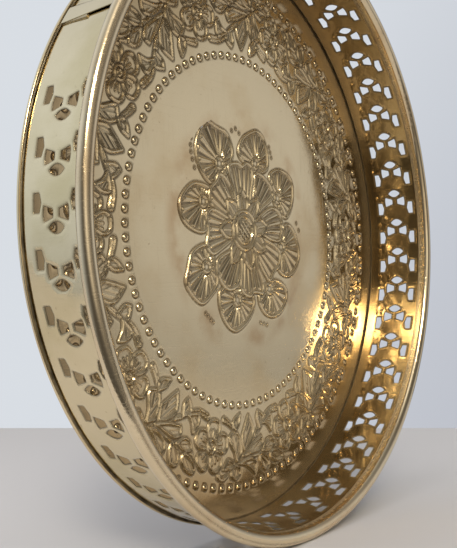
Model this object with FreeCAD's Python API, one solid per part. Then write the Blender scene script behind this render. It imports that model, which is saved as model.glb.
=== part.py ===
"""Round brass gallery tray: a flat floor with a pierced upright wall and a wired, rolled rim.

The wall is one strip bent into a ring. Its foot is turned outwards and held by the floor's folded
edge, its top is rolled outwards over a wire, and its ends overlap in a brazed lap. The tray rests
on the floor's underside at Z = 0, centred on the Z axis. Millimetres and degrees.
"""
import FreeCAD
import Part
import math
import os

# Driving sizes
outer_diameter = 305.0        # across the rolled rim
overall_height = 41.0         # floor's underside to the top of the roll
sheet = 0.5                   # floor and wall metal
wire_diameter = 5.4           # wire inside the rolled rim
wire_clearance = 0.05         # wire to the inside of the roll
fold_clearance = 0.05         # floor's folded edge to the wall's foot
flange_reach = 0.9            # wall's foot beyond the wall's outer face
curl_end_gap = 0.1            # roll's raw edge to the wall
foot_bend_radius = 1.2        # inside corner between floor and wall

# Lap joint of the wall's two ends
seam_angle = 144.5            # where the ends meet
seam_gap = 0.5                # between the ends, along the wall
lap_length = 9.0              # tongue over the other end
lap_foot_gap = 0.4            # under the tongue, at its foot
lap_head_gap = 1.1            # under the tongue, at its head, where the roll holds it off
lap_clear_of_fold = 0.6       # tongue above the folded edge
lap_clear_of_roll = 0.8       # tongue below the roll
braze_share = 0.45            # part of the lap's height that the braze fills

# Pierced pattern
first_motif_angle = 165.6
wide_pitch = 8.26             # the marking out starts wide and tightens
wide_steps = 15
close_pitch = 7.41
close_steps = 28
eye_height = 8.0              # pointed upright hole that starts each motif
eye_width = 4.4
petal_height = 4.6            # two flaring holes beside it
petal_width_near = 2.8        # side towards the pattern's middle
petal_width_far = 5.8
petal_bulge = 0.4             # of the far side
petal_offset_along = 5.3      # from the eye's middle
petal_offset_up = 4.0         # pattern's middle to the petal's middle
slot_length = 7.3             # two long holes above and below, each with a raised middle
slot_height = 2.8
slot_peak = 1.0
slot_offset_along = 9.6       # from the eye's middle
pattern_middle = 0.484        # share of the overall height
slot_spread = 0.254           # slots from the pattern's middle, a share of the overall height

# Wire joint
wire_gap = 1.0
wire_gap_angle = seam_angle + 40.0

# Worked out from the sizes above
wire_radius = wire_diameter / 2
roll_inner_radius = wire_radius + wire_clearance
roll_outer_radius = roll_inner_radius + sheet
roll_centre_r = outer_diameter / 2 - roll_outer_radius
roll_centre_z = overall_height - roll_outer_radius
wall_inner_r = roll_centre_r - roll_outer_radius
wall_outer_r = wall_inner_r + sheet
flange_outer_r = wall_outer_r + flange_reach
flange_top_z = 2 * sheet
fold_inner_r = flange_outer_r + fold_clearance
fold_outer_r = fold_inner_r + sheet
lip_bottom_z = flange_top_z + fold_clearance
lip_top_z = lip_bottom_z + sheet
lip_inner_r = wall_inner_r + foot_bend_radius + fold_clearance
motif_height = pattern_middle * overall_height
slot_offset_up = slot_spread * overall_height


def at(r, z):
    """A point of a section, at radius r and height z."""
    return FreeCAD.Vector(r, 0, z)


def polar(centre_r, centre_z, radius, angle):
    """A point on a section's round stretch."""
    turn = math.radians(angle)
    return at(centre_r + radius * math.cos(turn), centre_z + radius * math.sin(turn))


def line(start, end):
    return Part.LineSegment(start, end).toShape()


def arc(start, middle, end):
    return Part.Arc(start, middle, end).toShape()


def ring(edges):
    """A whole turn of a closed section."""
    face = Part.Face(Part.Wire(edges))
    return face.revolve(FreeCAD.Vector(), FreeCAD.Vector(0, 0, 1), 360)


def sector(corners, start_angle, sweep):
    """Part of a turn of a straight-sided section."""
    face = Part.Face(Part.makePolygon([at(r, z) for r, z in corners + corners[:1]]))
    face.rotate(FreeCAD.Vector(), FreeCAD.Vector(0, 0, 1), start_angle)
    return face.revolve(FreeCAD.Vector(), FreeCAD.Vector(0, 0, 1), sweep)


def arc_degrees(length, radius):
    return math.degrees(length / radius)


def save(node, shape):
    if not shape.isValid():
        raise ValueError(node + " isn't a valid shape")
    shape.exportStep("parts/" + node + ".step")
    print(node, "solids", len(shape.Solids), "volume cm3", round(shape.Volume / 1000, 2))


def floor_plate():
    """Flat disc whose edge is folded up, over and down onto the wall's foot."""
    fold_radius = fold_outer_r - flange_outer_r     # outer corners of the fold
    inner_bend = fold_clearance / 2
    bottom = arc(at(fold_outer_r - fold_radius, 0),
                 polar(fold_outer_r - fold_radius, fold_radius, fold_radius, -45),
                 at(fold_outer_r, fold_radius))
    top = arc(at(fold_outer_r, lip_top_z - fold_radius),
              polar(fold_outer_r - fold_radius, lip_top_z - fold_radius, fold_radius, 45),
              at(fold_outer_r - fold_radius, lip_top_z))
    inner = [at(lip_inner_r, lip_bottom_z), at(fold_inner_r - inner_bend, lip_bottom_z),
             at(fold_inner_r, lip_bottom_z - inner_bend), at(fold_inner_r, sheet), at(0, sheet)]
    edges = [line(at(0, 0), at(fold_outer_r - fold_radius, 0)), bottom,
             line(at(fold_outer_r, fold_radius), at(fold_outer_r, lip_top_z - fold_radius)), top,
             line(at(fold_outer_r - fold_radius, lip_top_z), at(lip_inner_r, lip_top_z)),
             line(at(lip_inner_r, lip_top_z), inner[0])]
    edges += [line(start, end) for start, end in zip(inner, inner[1:])]
    edges.append(line(at(0, sheet), at(0, 0)))
    return ring(edges)


def wall_ring():
    """The wall's section turned all the way round: foot, upright and roll."""
    bend_z = sheet + foot_bend_radius
    outer_bend = foot_bend_radius - sheet
    foot_centre_r = wall_inner_r + foot_bend_radius
    hook_cos = (roll_centre_r - wall_outer_r - curl_end_gap) / roll_outer_radius
    hook_angle = -180 + math.degrees(math.acos(hook_cos))
    round_r = (roll_centre_r, roll_centre_z)
    hook_outer = polar(*round_r, roll_outer_radius, hook_angle)
    hook_inner = polar(*round_r, roll_inner_radius, hook_angle)
    over = (180 + hook_angle) / 2                   # halfway round the roll, over its top
    return ring([
        line(at(foot_centre_r, sheet), at(flange_outer_r, sheet)),
        line(at(flange_outer_r, sheet), at(flange_outer_r, flange_top_z)),
        line(at(flange_outer_r, flange_top_z), at(foot_centre_r, flange_top_z)),
        arc(at(foot_centre_r, flange_top_z), polar(foot_centre_r, bend_z, outer_bend, 225),
            at(wall_outer_r, bend_z)),
        line(at(wall_outer_r, bend_z), at(wall_outer_r, roll_centre_z)),
        arc(at(wall_outer_r, roll_centre_z), polar(*round_r, roll_inner_radius, over), hook_inner),
        line(hook_inner, hook_outer),
        arc(hook_outer, polar(*round_r, roll_outer_radius, over), at(wall_inner_r, roll_centre_z)),
        line(at(wall_inner_r, roll_centre_z), at(wall_inner_r, bend_z)),
        arc(at(wall_inner_r, bend_z), polar(foot_centre_r, bend_z, foot_bend_radius, 225),
            at(foot_centre_r, sheet)),
    ])


def motif_angles():
    """Angle of each motif's upright hole, anticlockwise from above, from one side of the seam."""
    angles = [first_motif_angle]
    for step in range(wide_steps + close_steps):
        angles.append(angles[-1] + (wide_pitch if step < wide_steps else close_pitch))
    return angles


def cutter(outline, along, up, angle):
    """A bar through the wall whose section is drawn as (along the wall, up) points or arcs.

    The outline is a list of edges, each two points or, for an arc, three. Along runs clockwise
    seen from above.
    """
    def place(point):
        across = -(along + point[0])
        return FreeCAD.Vector(wall_inner_r - 2 * sheet, across, motif_height + up + point[1])

    edges = [(line if len(points) == 2 else arc)(*[place(point) for point in points])
             for points in outline]
    bar = Part.Face(Part.Wire(edges)).extrude(FreeCAD.Vector(5 * sheet, 0, 0))
    bar.rotate(FreeCAD.Vector(), FreeCAD.Vector(0, 0, 1), angle)
    return bar


def chain(points):
    """Straight edges from each point to the next."""
    return list(zip(points, points[1:]))


def motif(angle):
    """One motif's five cutters: an eye, two petals beside it and two slots beyond them."""
    tip = eye_height / 2
    side = eye_width / 2
    eye = [((0, -tip), (side, 0), (0, tip)), ((0, tip), (-side, 0), (0, -tip))]
    bars = [cutter(eye, 0, 0, angle)]
    for up in (1, -1):
        near = -up * petal_height / 2
        far_start = (petal_width_far / 2, -near)
        far_end = (-petal_width_far / 2, -near)
        petal = chain([far_end, (-petal_width_near / 2, near), (petal_width_near / 2, near), far_start])
        petal.append((far_start, (0, -near + up * petal_bulge), far_end))
        bars.append(cutter(petal, petal_offset_along, up * petal_offset_up, angle))
        inward = -up * slot_height / 2
        slot = chain([(-slot_length / 2, -inward), (slot_length / 2, -inward),
                      (slot_length / 2, inward), (0, inward - up * slot_peak),
                      (-slot_length / 2, inward), (-slot_length / 2, -inward)])
        bars.append(cutter(slot, slot_offset_along, up * slot_offset_up, angle))
    return bars


def lap_profile(inner_gap_share, depth):
    """A slanted section outside the wall, as tall as the lap, starting in or at its gap."""
    low_z = lip_top_z + lap_clear_of_fold
    high_z = roll_centre_z - roll_outer_radius - lap_clear_of_roll
    low_r = wall_outer_r + lap_foot_gap * inner_gap_share
    high_r = wall_outer_r + lap_head_gap * inner_gap_share
    return [(low_r, low_z), (low_r + depth, low_z), (high_r + depth, high_z), (high_r, high_z)]


def gallery_wall():
    """The pierced strip with its ends cut at the seam and one end lapped over the other."""
    wall = wall_ring()
    wall = wall.cut([bar for angle in motif_angles() for bar in motif(angle)])
    gap_sweep = arc_degrees(seam_gap, wall_outer_r)
    slice_corners = [(wall_inner_r - sheet, 0), (outer_diameter, 0),
                     (outer_diameter, 2 * overall_height), (wall_inner_r - sheet, 2 * overall_height)]
    wall = wall.cut(sector(slice_corners, seam_angle, gap_sweep))
    tongue = sector(lap_profile(1, sheet), seam_angle, gap_sweep + arc_degrees(lap_length, wall_outer_r))
    joggle_corners = lap_profile(1, sheet)
    joggle_corners[0] = (wall_inner_r + sheet / 2, joggle_corners[0][1])
    joggle_corners[3] = (wall_inner_r + sheet / 2, joggle_corners[3][1])
    joggle_sweep = arc_degrees(sheet, wall_outer_r)
    joggle = sector(joggle_corners, seam_angle - joggle_sweep, joggle_sweep)
    return wall.fuse([joggle, tongue]).removeSplitter()


def lap_braze():
    """Braze drawn into the foot of the wedge under the tongue."""
    low, _, _, high = lap_profile(1, sheet)
    share = braze_share
    top = (low[0] + (high[0] - low[0]) * share, low[1] + (high[1] - low[1]) * share)
    corners = [(wall_outer_r, low[1]), low, top, (wall_outer_r, top[1])]
    start = seam_angle + arc_degrees(seam_gap, wall_outer_r)
    return sector(corners, start, arc_degrees(lap_length, wall_outer_r))


def rim_wire():
    """The wire inside the roll, its ends a little apart."""
    section = Part.Face(Part.Wire(Part.makeCircle(wire_radius, at(roll_centre_r, roll_centre_z),
                                                  FreeCAD.Vector(0, 1, 0))))
    gap = arc_degrees(wire_gap, roll_centre_r)
    section.rotate(FreeCAD.Vector(), FreeCAD.Vector(0, 0, 1), wire_gap_angle + gap)
    return section.revolve(FreeCAD.Vector(), FreeCAD.Vector(0, 0, 1), 360 - gap)


os.makedirs("parts", exist_ok=True)
save("floor_plate", floor_plate())
save("gallery_wall", gallery_wall())
save("rim_wire", rim_wire())
save("lap_braze", lap_braze())
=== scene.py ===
"""Round brass gallery tray: stamped floor, pierced wall, rolled rim, worn brass, table and camera.

Lengths are millimetres until a mesh is made. The tray lies flat about the Z axis, as the frame
has it, and the camera is turned so that the tray is seen standing on its edge.
"""
import bpy
import math
import numpy as np
from mathutils import Matrix, Vector


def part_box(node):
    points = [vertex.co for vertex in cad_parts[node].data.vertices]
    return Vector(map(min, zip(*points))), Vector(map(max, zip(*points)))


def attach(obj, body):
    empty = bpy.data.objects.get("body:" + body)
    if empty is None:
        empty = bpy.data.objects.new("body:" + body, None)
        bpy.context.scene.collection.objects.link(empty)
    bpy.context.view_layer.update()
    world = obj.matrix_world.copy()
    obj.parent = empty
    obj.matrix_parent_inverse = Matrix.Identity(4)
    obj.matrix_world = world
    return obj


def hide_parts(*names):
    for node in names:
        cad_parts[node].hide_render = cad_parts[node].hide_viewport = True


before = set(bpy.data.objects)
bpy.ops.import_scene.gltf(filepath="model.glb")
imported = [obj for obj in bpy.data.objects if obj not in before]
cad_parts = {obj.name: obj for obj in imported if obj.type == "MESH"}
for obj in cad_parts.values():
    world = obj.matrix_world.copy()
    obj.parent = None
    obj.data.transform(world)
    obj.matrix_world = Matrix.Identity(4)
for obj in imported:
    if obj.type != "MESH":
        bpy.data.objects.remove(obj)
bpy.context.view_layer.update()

MM = 0.001

# Sizes read from the frame
floor_low, floor_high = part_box("floor_plate")
wall_low, wall_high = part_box("gallery_wall")
wire_low, wire_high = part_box("rim_wire")
RIM_R = wall_high[0] / MM
TOP_Z = wall_high[2] / MM
SHEET = wall_low[2] / MM
FOLD_R = floor_high[0] / MM
LIP_TOP_Z = floor_high[2] / MM
ROLL_Z = (wire_low[2] + wire_high[2]) / 2 / MM
ROLL_R = TOP_Z - ROLL_Z
ROLL_CENTRE_R = RIM_R - ROLL_R
WALL_IN_R = ROLL_CENTRE_R - ROLL_R
WALL_OUT_R = WALL_IN_R + SHEET
WALL_MID_R = (WALL_IN_R + WALL_OUT_R) / 2

# Wall: foot, seam and lap
FOOT_BEND_R = 1.2
FOLD_GAP = 0.05
ROLL_START_Z = ROLL_Z - ROLL_R - 0.1     # pierced strip below, rolled edge above
SEAM_ANGLE = 144.5
SEAM_GAP = 0.5
LAP_LENGTH = 9.0
LAP_FOOT_GAP = 0.4
LAP_HEAD_GAP = 0.55           # half a millimetre closer than in the CAD
LAP_SLANT = 0.36              # share of the tongue's length cut away at its head
LAP_LEAD = 0.35               # degrees over which the tongue steps out at the seam
LAP_ENDS = (0.6, 0.8)         # wall left bare above the floor's fold and below the roll
RIM_LINE = (66, 9, 0.6)       # the rim's dark line, painted shade: degrees round the roll, width, depth

# Piercings
FIRST_MOTIF_ANGLE = 165.6
WIDE_PITCH = 8.26
WIDE_STEPS = 15
CLOSE_PITCH = 7.41
CLOSE_STEPS = 28
CELL_LEAD = 1.2               # degrees of plain wall kept on the eye's far side
MOTIF_Z = 0.484 * TOP_Z
SLOT_OFFSET_UP = 0.254 * TOP_Z
HOLE_ROUND = 0.2              # rounding of a punched edge
HOLE_DISH = 0.22              # metal drawn inwards round a hole
DISH_REACH = 0.9
HOLE_SHADE_AND_DIRT = (0.42, 0.7)      # reach of the painted shade and dirt round a hole, outside and inside the wall
WALL_GRID = 0.46

# Floor zones, by radius
MEDALLION_R = 60.0
INNER_BEADS = (87.2, 92.6, 90.0, 90)     # inner edge, outer edge, bead ring, count
OUTER_BEADS = (128.1, 133.5, 130.8, 117)
BEAD_R = 1.85
BEAD_HEIGHT = 1.15
MARGIN_RINGS = (143, 140, 137)           # the margin's painted shade and dirt deepen outwards up to the first
BAND_REPEATS = 10
BAND_FIRST_ANGLE = 72.3
BAND_PIECES = 5
MEDALLION_GRID = 0.36
BAND_GRID = 0.37
CUT_MARGIN = 0.08             # a grid's cut stays this share of a cell away from its points
NO_TRIS = np.empty((0, 3), dtype=int)

# Relief
LINE = 0.66                   # half width of a raised line
RAISED = 0.86                 # height of a raised line
SUNK = 0.2                    # depth inside an outline
BAND_STRETCH = 1.009          # of the band's drawing


# -------- meshes

def added(name, data):
    """A new object in the scene."""
    made = bpy.data.objects.new(name, data)
    bpy.context.scene.collection.objects.link(made)
    return made


def make_object(name, points, faces, sharp_degrees=38):
    """A mesh object from points in millimetres."""
    mesh = bpy.data.meshes.new(name)
    mesh.from_pydata((np.asarray(points) * MM).tolist(), [], faces)
    mesh.update()
    mesh.shade_smooth()
    mesh.set_sharp_from_angle(angle=math.radians(sharp_degrees))
    return added(name, mesh)


def set_shade_and_dirt(made, values):
    """Marks the low and sheltered places, point by point, for the metal to darken there: painted
    shade, with dirt.
    """
    mask = made.data.attributes.new("shade_and_dirt", "FLOAT", "POINT")
    mask.data.foreach_set("value", np.asarray(values, dtype=np.float32))


def shade_and_dirt_where(made, rule):
    """Sets the painted shade and dirt from a rule over radius and height in millimetres."""
    flat = np.empty(3 * len(made.data.vertices), dtype=np.float32)
    made.data.vertices.foreach_get("co", flat)
    x, y, z = flat.reshape(-1, 3).T / MM
    set_shade_and_dirt(made, np.clip(rule(np.hypot(x, y), z), 0, 1))
    return made


def closed_shell(top, bottom, quads, tris):
    """Joins two sheets with the same faces into one closed shell. Returns points and faces."""
    count = len(top)
    edges = [quads[:, [i, (i + 1) % 4]] for i in range(4)]
    edges += [tris[:, [i, (i + 1) % 3]] for i in range(3)]
    edges = np.vstack(edges).astype(np.int64)
    there = edges[:, 0] * count + edges[:, 1]
    back = edges[:, 1] * count + edges[:, 0]
    rim = edges[~np.isin(there, back)]
    sides = np.column_stack([rim[:, 1], rim[:, 0], rim[:, 0] + count, rim[:, 1] + count])
    faces = quads.tolist() + tris.tolist() + sides.tolist()
    faces += (quads[:, ::-1] + count).tolist() + (tris[:, ::-1] + count).tolist()
    return np.vstack([top, bottom]), faces


def grid_cells(rows, across):
    """The cells of a grid of points, as quads."""
    first = (np.arange(rows - 1)[:, None] * across + np.arange(across - 1)).ravel()
    return np.column_stack([first, first + across, first + across + 1, first + 1])


def clipped_grid(xs, ys, keep):
    """A grid cut to the area where keep(x, y) is positive, following its edge between grid points.

    Returns the points' x and y, the whole cells as quads, and the cut cells as triangles.
    """
    x, y = [a.ravel() for a in np.meshgrid(xs, ys, indexing="ij")]
    value = keep(x, y)
    cells = grid_cells(len(xs), len(ys))
    kept = value[cells] > 0
    quads = cells[kept.all(axis=1)]
    extra, crossing, tris = [], {}, []

    def cross(a, b):
        key = (min(a, b), max(a, b))
        if key not in crossing:
            share = value[key[0]] / (value[key[0]] - value[key[1]])
            share = min(max(share, CUT_MARGIN), 1 - CUT_MARGIN)
            crossing[key] = len(x) + len(extra)
            extra.append([x[key[0]] + (x[key[1]] - x[key[0]]) * share,
                          y[key[0]] + (y[key[1]] - y[key[0]]) * share])
        return crossing[key]

    for cell in cells[kept.any(axis=1) & ~kept.all(axis=1)]:
        ring = []
        for i in range(4):
            here, after = int(cell[i]), int(cell[(i + 1) % 4])
            if value[here] > 0:
                ring.append(here)
            if (value[here] > 0) != (value[after] > 0):
                ring.append(cross(here, after))
        tris += [[ring[0], ring[i], ring[i + 1]] for i in range(1, len(ring) - 1)]
    points = np.column_stack([x, y])
    if extra:
        points = np.vstack([points, extra])
    tris = np.array(tris, dtype=int).reshape(-1, 3)
    used, renamed = np.unique(np.concatenate([quads.ravel(), tris.ravel()]), return_inverse=True)
    renamed = renamed.ravel()
    return (points[used], renamed[:quads.size].reshape(-1, 4), renamed[quads.size:].reshape(-1, 3))


def round_sheet(radius, angle, z):
    """Points from radius, angle in radians and height."""
    return np.column_stack([radius * np.cos(angle), radius * np.sin(angle), z])


def swept(name, section, start=0.0, end=360.0, steps=360):
    """A closed section of (r, z) points, listed anticlockwise, swept about the Z axis."""
    section = np.array(section)
    whole = end - start >= 360
    turns = np.radians(np.linspace(start, end, steps + 1)[:steps if whole else steps + 1])
    n, m = len(turns), len(section)
    points = np.empty((n, m, 3))
    points[:, :, 0] = np.cos(turns)[:, None] * section[:, 0]
    points[:, :, 1] = np.sin(turns)[:, None] * section[:, 0]
    points[:, :, 2] = section[:, 1]
    faces = []
    for i in range(n if whole else n - 1):
        after = (i + 1) % n
        for j in range(m):
            k = (j + 1) % m
            faces.append([i * m + j, after * m + j, after * m + k, i * m + k])
    if not whole:
        faces.append(list(range(m)))
        faces.append([(n - 1) * m + j for j in range(m)][::-1])
    return make_object(name, points.reshape(-1, 3), faces)


def round_points(centre_r, centre_z, radius, start, end, steps):
    """Points of an arc in a section, both ends included."""
    turns = np.radians(np.linspace(start, end, steps + 1))
    return [(centre_r + radius * math.cos(t), centre_z + radius * math.sin(t)) for t in turns]


# -------- nodes

def group_socket(group, label, direction, kind="Float"):
    group.interface.new_socket(label, in_out=direction, socket_type="NodeSocket" + kind)


def feed(tree, socket, value):
    """Sets a socket to a number, a colour or what another node puts out."""
    if isinstance(value, bpy.types.NodeSocket):
        tree.links.new(value, socket)
    else:
        socket.default_value = value


def worked(tree, kind, operation, values):
    """A new math node with its first sockets fed."""
    node = tree.nodes.new(kind)
    node.operation = operation
    for socket, value in zip(node.inputs, values):
        feed(tree, socket, value)
    return node


def arithmetic(tree, operation, *values):
    return worked(tree, "ShaderNodeMath", operation, values).outputs[0]


def product(tree, a, b):
    return arithmetic(tree, "MULTIPLY", a, b)


def vector_math(tree, operation, *values):
    plain = operation in ("DOT_PRODUCT", "LENGTH")
    return worked(tree, "ShaderNodeVectorMath", operation, values).outputs["Value" if plain else 0]


def mapped_noise(tree, where, scale, detail, stretch=(1, 1, 1)):
    """Noise in the piece's own space, scale in lumps per metre."""
    mapping = tree.nodes.new("ShaderNodeMapping")
    noise = tree.nodes.new("ShaderNodeTexNoise")
    feed(tree, mapping.inputs["Vector"], where)
    feed(tree, mapping.inputs["Scale"], stretch)
    feed(tree, noise.inputs["Vector"], mapping.outputs[0])
    feed(tree, noise.inputs["Scale"], scale)
    feed(tree, noise.inputs["Detail"], detail)
    return noise.outputs["Fac"]


def band_pass(tree, value, low, high, out_low=0.0, out_high=1.0):
    """Maps a stretch of a value onto another, clamped."""
    node = tree.nodes.new("ShaderNodeMapRange")
    node.interpolation_type = "SMOOTHSTEP"
    for label, given in (("Value", value), ("From Min", low), ("From Max", high),
                         ("To Min", out_low), ("To Max", out_high)):
        feed(tree, node.inputs[label], given)
    return node.outputs["Result"]


def clouds(tree, where, scale, detail, low, high, out_low=0.0, out_high=1.0, stretch=(1, 1, 1)):
    """Noise with its part between low and high spread over the whole range."""
    noise = mapped_noise(tree, where, scale, detail, stretch)
    return band_pass(tree, noise, low, high, out_low, out_high)


def between(tree, radius, rise, fall, most=1.0):
    """A ring that comes in over one stretch of radius and goes out over another."""
    comes = band_pass(tree, radius, rise[0] * MM, rise[1] * MM, 0.0, most)
    goes = band_pass(tree, radius, fall[0] * MM, fall[1] * MM, 1.0, 0.0)
    return product(tree, comes, goes)


def mixed(tree, share, a, b):
    """Colour a turning to colour b as share goes from 0 to 1."""
    node = tree.nodes.new("ShaderNodeMix")
    node.data_type = "RGBA"
    for place, value in ((0, share), (6, a), (7, b)):
        feed(tree, node.inputs[place], value)
    return node.outputs[2]


def mixed_shaders(tree, share, first, second, output):
    """Shows the second shader where share is 1."""
    mix = tree.nodes.new("ShaderNodeMixShader")
    for socket, value in zip(mix.inputs, (share, first.outputs[0], second.outputs[0])):
        tree.links.new(value, socket)
    tree.links.new(mix.outputs[0], output.inputs["Surface"])


# -------- repeating round the axis

def repeat_tree():
    """Geometry Nodes: the object's own mesh, repeated about the Z axis at an even pitch."""
    tree = bpy.data.node_groups.new("Repeat round the axis", "GeometryNodeTree")
    for label, kind in (("Geometry", "Geometry"), ("Count", "Int"), ("First angle", "Float"),
                        ("Pitch", "Float"), ("Metal", "Material")):
        group_socket(tree, label, "INPUT", kind)
    group_socket(tree, "Geometry", "OUTPUT", "Geometry")
    new = tree.nodes.new
    given, result = new("NodeGroupInput").outputs, new("NodeGroupOutput")
    points, about = new("GeometryNodePoints"), new("ShaderNodeCombineXYZ")
    place = new("GeometryNodeInstanceOnPoints")
    real, metal = new("GeometryNodeRealizeInstances"), new("GeometryNodeSetMaterial")
    index = new("GeometryNodeInputIndex").outputs[0]
    turn = arithmetic(tree, "MULTIPLY_ADD", index, given["Pitch"], given["First angle"])
    for source, target in (
            (given["Count"], points.inputs["Count"]), (turn, about.inputs["Z"]),
            (points.outputs[0], place.inputs["Points"]),
            (given["Geometry"], place.inputs["Instance"]),
            (about.outputs[0], place.inputs["Rotation"]), (place.outputs[0], real.inputs[0]),
            (real.outputs[0], metal.inputs["Geometry"]), (given["Metal"], metal.inputs["Material"]),
            (metal.outputs[0], result.inputs[0])):
        tree.links.new(source, target)
    return tree


REPEAT = repeat_tree()


def repeated(unit, name, count, first_degrees, pitch_degrees, metal):
    """A plain mesh object of the unit repeated round the axis. The unit itself is kept."""
    modifier = unit.modifiers.new("repeat", "NODES")
    modifier.node_group = REPEAT
    values = {"Count": count, "First angle": math.radians(first_degrees),
              "Pitch": math.radians(pitch_degrees), "Metal": metal}
    for item in REPEAT.interface.items_tree:
        if item.in_out == "INPUT" and item.name in values:
            modifier[item.identifier] = values[item.name]
    graph = bpy.context.evaluated_depsgraph_get()
    mesh = bpy.data.meshes.new_from_object(unit.evaluated_get(graph))
    mesh.name = name
    unit.modifiers.remove(modifier)
    return added(name, mesh)


# -------- outlines and relief

def through(points, closed=True, steps=6):
    """A smooth line through the points. A point given twice is a corner."""
    points = [tuple(p) for p in points]
    if closed:
        points = points + points[:1]
    runs, run = [], [points[0]]
    for point in points[1:]:
        if point == run[-1]:
            runs.append(run)
            run = [point]
        else:
            run.append(point)
    runs.append(run)
    whole = closed and len(runs) == 1
    if whole:
        ring = run[:-1]
        runs = [[ring[-1]] + ring + ring[:2]]
    line = []
    for run in runs:
        if len(run) < 2:
            continue
        p = np.array(run if whole else [run[0]] + run + [run[-1]], dtype=float)
        for i in range(1, len(p) - 2):
            for t in np.arange(steps) / steps:
                a, b, c, d = p[i - 1], p[i], p[i + 1], p[i + 2]
                line.append(0.5 * ((2 * b) + (c - a) * t + (2 * a - 5 * b + 4 * c - d) * t * t
                                   + (3 * b - a - 3 * c + d) * t ** 3))
        if not whole:
            line.append(p[-1])
    return np.array(line)


def line_distance(x, y, line, closed=False):
    """Distance to a line of points, and how far along it the nearest point is, from 0 to 1."""
    after = np.roll(line, -1, axis=0) if closed else line[1:]
    before = line if closed else line[:-1]
    best = np.full(x.shape, 1e9)
    along = np.zeros(x.shape)
    for i, (a, b) in enumerate(zip(before, after)):
        step = b - a
        length = max(float(step @ step), 1e-9)
        share = np.clip(((x - a[0]) * step[0] + (y - a[1]) * step[1]) / length, 0, 1)
        gap = np.hypot(x - a[0] - share * step[0], y - a[1] - share * step[1])
        nearer = gap < best
        best = np.where(nearer, gap, best)
        along = np.where(nearer, (i + share) / len(before), along)
    return best, along


def signed_distance(x, y, outline):
    """Distance to a closed outline, negative inside it."""
    gap, _ = line_distance(x, y, outline, closed=True)
    inside = np.zeros(x.shape, dtype=bool)
    for a, b in zip(outline, np.roll(outline, -1, axis=0)):
        if a[1] == b[1]:
            continue
        spans = (a[1] > y) != (b[1] > y)
        inside ^= spans & (x < (b[0] - a[0]) * (y - a[1]) / (b[1] - a[1]) + a[0])
    return np.where(inside, -gap, gap)


def ease(value, low, high):
    """0 below low, 1 above high, smooth between."""
    t = np.clip((value - low) / (high - low), 0, 1)
    return t * t * (3 - 2 * t)


def ridge(gap, width=LINE):
    """A raised line's rounded section."""
    return np.exp(-(gap / width) ** 2)


def bearing(x, y, axis, cx=0, cy=0):
    """Degrees round a point, 0 along the axis."""
    return (np.degrees(np.arctan2(y - cy, x - cx)) - axis + 180) % 360 - 180


def ribbed(across, pitch):
    """Heights of evenly pitched ribs, and the darkening of their troughs: painted shade and dirt.
    """
    crest = 0.5 + 0.5 * np.cos(2 * math.pi * across / pitch)
    return 0.9 * crest ** 1.2, 0.95 * (1 - ease(crest, 0.05, 0.5))


class Relief:
    """Heights over a patch of floor, worked by stamping one shape after another over the last.

    Its darkening, from 0 to 1, is painted shade in the creases and troughs, with what polishing
    leaves there.
    """

    def __init__(self, x, y):
        self.x, self.y = x, y
        self.height = np.zeros(x.shape)
        self.shade_and_dirt = np.zeros(x.shape)

    def near(self, line, reach=2.5):
        low, high = line.min(axis=0) - reach, line.max(axis=0) + reach
        return ((self.x > low[0]) & (self.x < high[0]) & (self.y > low[1]) & (self.y < high[1]))

    def lay(self, pick, gap, height, shade_and_dirt):
        cover = 1 - ease(gap, 0.75, 1.15)
        # painted shade and dirt: a dark crease round each raised shape, which is also a slight
        # groove
        crease = ridge(gap - 1.12, 0.42)
        under = self.height[pick] * (1 - 0.5 * crease) - 0.22 * crease
        self.height[pick] = under * (1 - cover) + height * cover
        self.shade_and_dirt[pick] = np.maximum(self.shade_and_dirt[pick] * (1 - cover) + shade_and_dirt * cover, 0.95 * crease)

    def outlined(self, outline, inside=None, raised=RAISED, line=LINE, inset=0.0):
        """A raised outline. inside(x, y, gap) gives the heights within, and their darkening:
        painted shade and dirt.
        """
        pick = self.near(outline)
        x, y = self.x[pick], self.y[pick]
        gap = signed_distance(x, y, outline) + inset
        body, dark = (-SUNK, 0.0) if inside is None else inside(x, y, gap)
        within = ease(-gap, 0.5, 1.3)
        # painted shade and dirt in the troughs within and in a crease just inside the line
        self.lay(pick, gap, body * within + raised * ridge(gap, line),
                 np.maximum(dark * within, 0.75 * ridge(gap + 1.1, 0.42)))

    def stem(self, points, start_half, end_half, raised=RAISED):
        """A stem drawn as a raised outline round a line whose half width changes evenly."""
        line = through(points, closed=False)
        pick = self.near(line, 2.5 + max(start_half, end_half))
        gap, along = line_distance(self.x[pick], self.y[pick], line)
        gap = gap - (start_half + (end_half - start_half) * along)
        # painted shade and dirt in a crease just inside the stem's outline
        self.lay(pick, gap, raised * ridge(gap, 0.62), 0.5 * ridge(gap + 0.95, 0.35))

    def circle(self, cx, cy, radius, raised=RAISED, line=LINE, body=-SUNK):
        span = radius + 2.5
        pick = (np.abs(self.x - cx) < span) & (np.abs(self.y - cy) < span)
        gap = np.hypot(self.x[pick] - cx, self.y[pick] - cy) - radius
        # painted shade and dirt in a crease just inside the ring
        self.lay(pick, gap, body * ease(-gap, 0.1, 0.8) + raised * ridge(gap, line),
                 0.9 * ridge(gap + 1.1, 0.42))

    def dot(self, cx, cy, radius, raised):
        pick = (np.abs(self.x - cx) < radius * 3) & (np.abs(self.y - cy) < radius * 3)
        gap = np.hypot(self.x[pick] - cx, self.y[pick] - cy)
        self.height[pick] = np.maximum(self.height[pick], raised * ridge(gap, radius))
        # painted shade and dirt in a ring round the dot
        self.shade_and_dirt[pick] = np.maximum(self.shade_and_dirt[pick], 0.8 * ridge(gap - 1.5 * radius, 0.4))


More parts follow.
